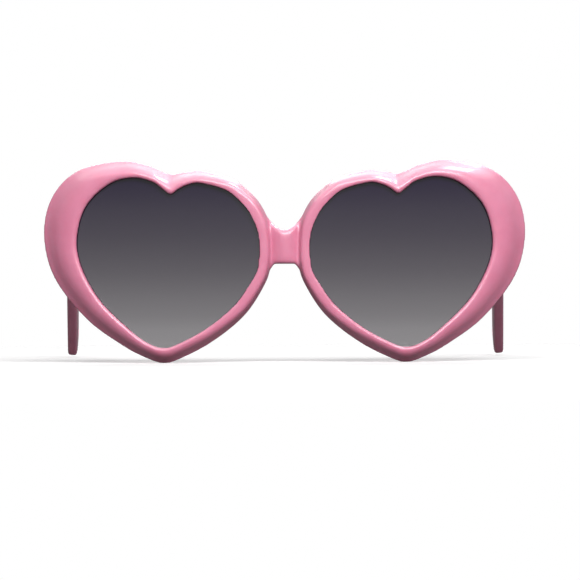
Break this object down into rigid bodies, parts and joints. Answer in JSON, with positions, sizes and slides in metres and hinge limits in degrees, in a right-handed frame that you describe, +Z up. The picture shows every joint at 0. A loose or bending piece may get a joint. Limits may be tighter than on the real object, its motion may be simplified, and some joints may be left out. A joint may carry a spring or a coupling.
{
  "type": "heart shaped sunglasses",
  "caption": "Sunglasses with a thick pink acetate front of heart shaped rims, graded smoke lenses and two hinged temples, stored open.",
  "frame": {"origin": "the nose seat: the middle of the underside of the bridge, at the back of the front", "axes": "+Z up as worn, -Y the way the lenses face, +X towards the wearer's left temple"},
  "size_m": [0.15, 0.1566, 0.0628],
  "materials": {
    "acetate": "tumbled and polished opaque pink cellulose acetate",
    "lens": "polished smoke lens, graded from dark at the top to lighter at the bottom",
    "hinge_metal": "satin nickel silver",
    "screw_metal": "bright stainless steel",
    "core_wire": "drawn nickel silver wire",
    "heart_inlay": "matt mauve anodised aluminium"
  },
  "bodies": {
    "front": {"front_frame": "acetate", "left_lens": "lens", "right_lens": "lens", "left_nose_pad": "acetate", "right_nose_pad": "acetate", "left_front_hinge": "hinge_metal", "right_front_hinge": "hinge_metal", "left_hinge_screw": "screw_metal", "right_hinge_screw": "screw_metal"},
    "left_temple": {"left_temple": "acetate", "left_temple_hinge": "hinge_metal", "left_core_wire": "core_wire", "left_heart_inlay": "heart_inlay"},
    "right_temple": {"right_temple": "acetate", "right_temple_hinge": "hinge_metal", "right_core_wire": "core_wire", "right_heart_inlay": "heart_inlay"}
  },
  "joints": [
    {"name": "left_temple_fold", "type": "hinge", "parent": "front", "child": "left_temple", "pos_m": [0.0683, 0.013, 0.009], "axis": [-0.0785, 0.1111, 0.9907], "range_deg": [0, 91.5]},
    {"name": "right_temple_fold", "type": "hinge", "parent": "front", "child": "right_temple", "pos_m": [-0.0683, 0.013, 0.009], "axis": [-0.0785, -0.1111, -0.9907], "range_deg": [0, 87]}
  ]
}
